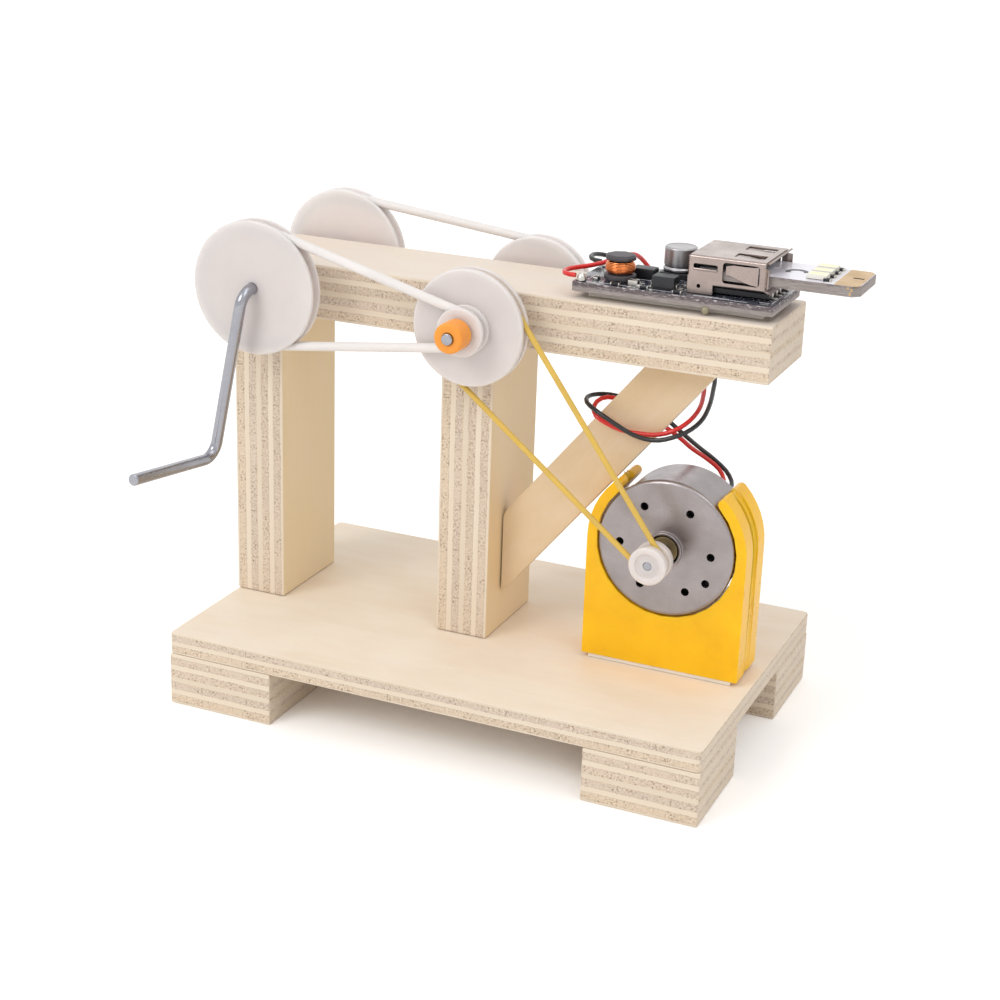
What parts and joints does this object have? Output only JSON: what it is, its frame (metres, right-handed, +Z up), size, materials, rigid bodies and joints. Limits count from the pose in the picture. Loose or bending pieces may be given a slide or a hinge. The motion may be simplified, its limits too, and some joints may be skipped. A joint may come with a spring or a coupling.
{
  "type": "hand crank generator",
  "caption": "Hand crank generator on a plywood frame: a bent crank and belt pulleys spin a small motor, whose wires feed a USB board that holds an LED stick.",
  "frame": {"origin": "bottom centre of the whole object at rest, on the plane under the feet", "axes": "+X along the long side of the base towards the LED stick, +Y from the crank handle to the back, +Z up"},
  "size_m": [0.1134, 0.078, 0.0874],
  "materials": {
    "birch_plywood": "bare sanded birch plywood, layered edges",
    "bright_steel": "bright drawn steel",
    "milky_plastic": "milky translucent plastic",
    "orange_plastic": "soft orange plastic",
    "amber_plastic": "moulded amber yellow plastic",
    "white_belt": "round white elastic cord",
    "yellow_belt": "round yellow elastic cord",
    "zinc_plate": "satin zinc plated steel",
    "sintered_bronze": "dull sintered bronze",
    "laminated_iron": "grey stamped iron",
    "enamelled_copper": "enamelled copper wire",
    "ferrite": "matt black ferrite",
    "tinned_metal": "tinned metal and solder",
    "black_plastic": "moulded black plastic",
    "white_foam_tape": "white foam tape",
    "dark_board": "dark circuit board with silver pads",
    "pale_board": "pale circuit board",
    "nickel_plate": "nickel plated sheet",
    "bare_aluminium": "bare aluminium can",
    "yellow_lamp": "yellow phosphor lamps",
    "red_sleeve": "red insulation",
    "black_sleeve": "black insulation"
  },
  "bodies": {
    "stand": {"base_board": "birch_plywood", "foot_front_left": "birch_plywood", "foot_front_right": "birch_plywood", "foot_back_left": "birch_plywood", "foot_back_right": "birch_plywood", "post_left": "birch_plywood", "post_right": "birch_plywood", "top_beam": "birch_plywood", "diagonal_brace": "birch_plywood", "motor_mount": "amber_plastic", "drive_belt_front": "white_belt", "drive_belt_back": "white_belt", "motor_belt": "yellow_belt", "motor_front_plate": "zinc_plate", "motor_can": "zinc_plate", "motor_bearing_front": "sintered_bronze", "motor_bearing_rear": "sintered_bronze", "inductor_winding": "enamelled_copper", "motor_magnet_left": "ferrite", "motor_magnet_right": "ferrite", "inductor_core": "ferrite", "motor_brush_left": "tinned_metal", "motor_brush_right": "tinned_metal", "motor_terminal_red": "tinned_metal", "motor_terminal_black": "tinned_metal", "solder_joint_red": "tinned_metal", "solder_joint_black": "tinned_metal", "motor_terminal_block": "black_plastic", "capacitor_base": "black_plastic", "power_diode": "black_plastic", "switch_chip": "black_plastic", "usb_insulator": "black_plastic", "mount_tape": "white_foam_tape", "board_tape": "white_foam_tape", "circuit_board": "dark_board", "usb_shell": "nickel_plate", "capacitor_can": "bare_aluminium", "wire_red": "red_sleeve", "wire_black": "black_sleeve"},
    "crank": {"crank_rod": "bright_steel", "crank_pulley_front": "milky_plastic", "crank_pulley_back": "milky_plastic"},
    "mid": {"mid_shaft": "bright_steel", "mid_pulley_front": "milky_plastic", "shaft_collar_front": "orange_plastic", "shaft_collar_back": "orange_plastic"},
    "idler": {"mid_pulley_back": "milky_plastic"},
    "rotor": {"motor_shaft": "bright_steel", "motor_rotor": "laminated_iron", "motor_winding_1": "enamelled_copper", "motor_winding_2": "enamelled_copper", "motor_winding_3": "enamelled_copper", "motor_commutator": "enamelled_copper", "motor_pulley": "milky_plastic"},
    "led_stick": {"led_board": "pale_board", "led_lamp_1": "yellow_lamp", "led_lamp_2": "yellow_lamp", "led_lamp_3": "yellow_lamp"}
  },
  "joints": [
    {"name": "crank_spin", "type": "hinge", "parent": "stand", "child": "crank", "pos_m": [-0.04495, -0.01018, 0.0752], "axis": [0, 1, 0], "continuous": true},
    {"name": "mid_spin", "type": "hinge", "parent": "stand", "child": "mid", "pos_m": [-0.00575, -0.01018, 0.0727], "axis": [0, 1, 0], "continuous": true},
    {"name": "idler_spin", "type": "hinge", "parent": "stand", "child": "idler", "pos_m": [-0.00575, 0.02252, 0.0727], "axis": [0, 1, 0], "continuous": true},
    {"name": "motor_spin", "type": "hinge", "parent": "stand", "child": "rotor", "pos_m": [0.02835, -0.00698, 0.0368], "axis": [0, 1, 0], "continuous": true},
    {"name": "led_slide", "type": "slide", "parent": "stand", "child": "led_stick", "axis": [1, 0, 0], "range_m": [0, 0.0114]}
  ],
  "couplings": [
    {"joint": "mid_spin", "follows": "crank_spin", "ratio": 3.4194},
    {"joint": "idler_spin", "follows": "crank_spin", "ratio": 1.1778},
    {"joint": "motor_spin", "follows": "crank_spin", "ratio": 12.099}
  ]
}
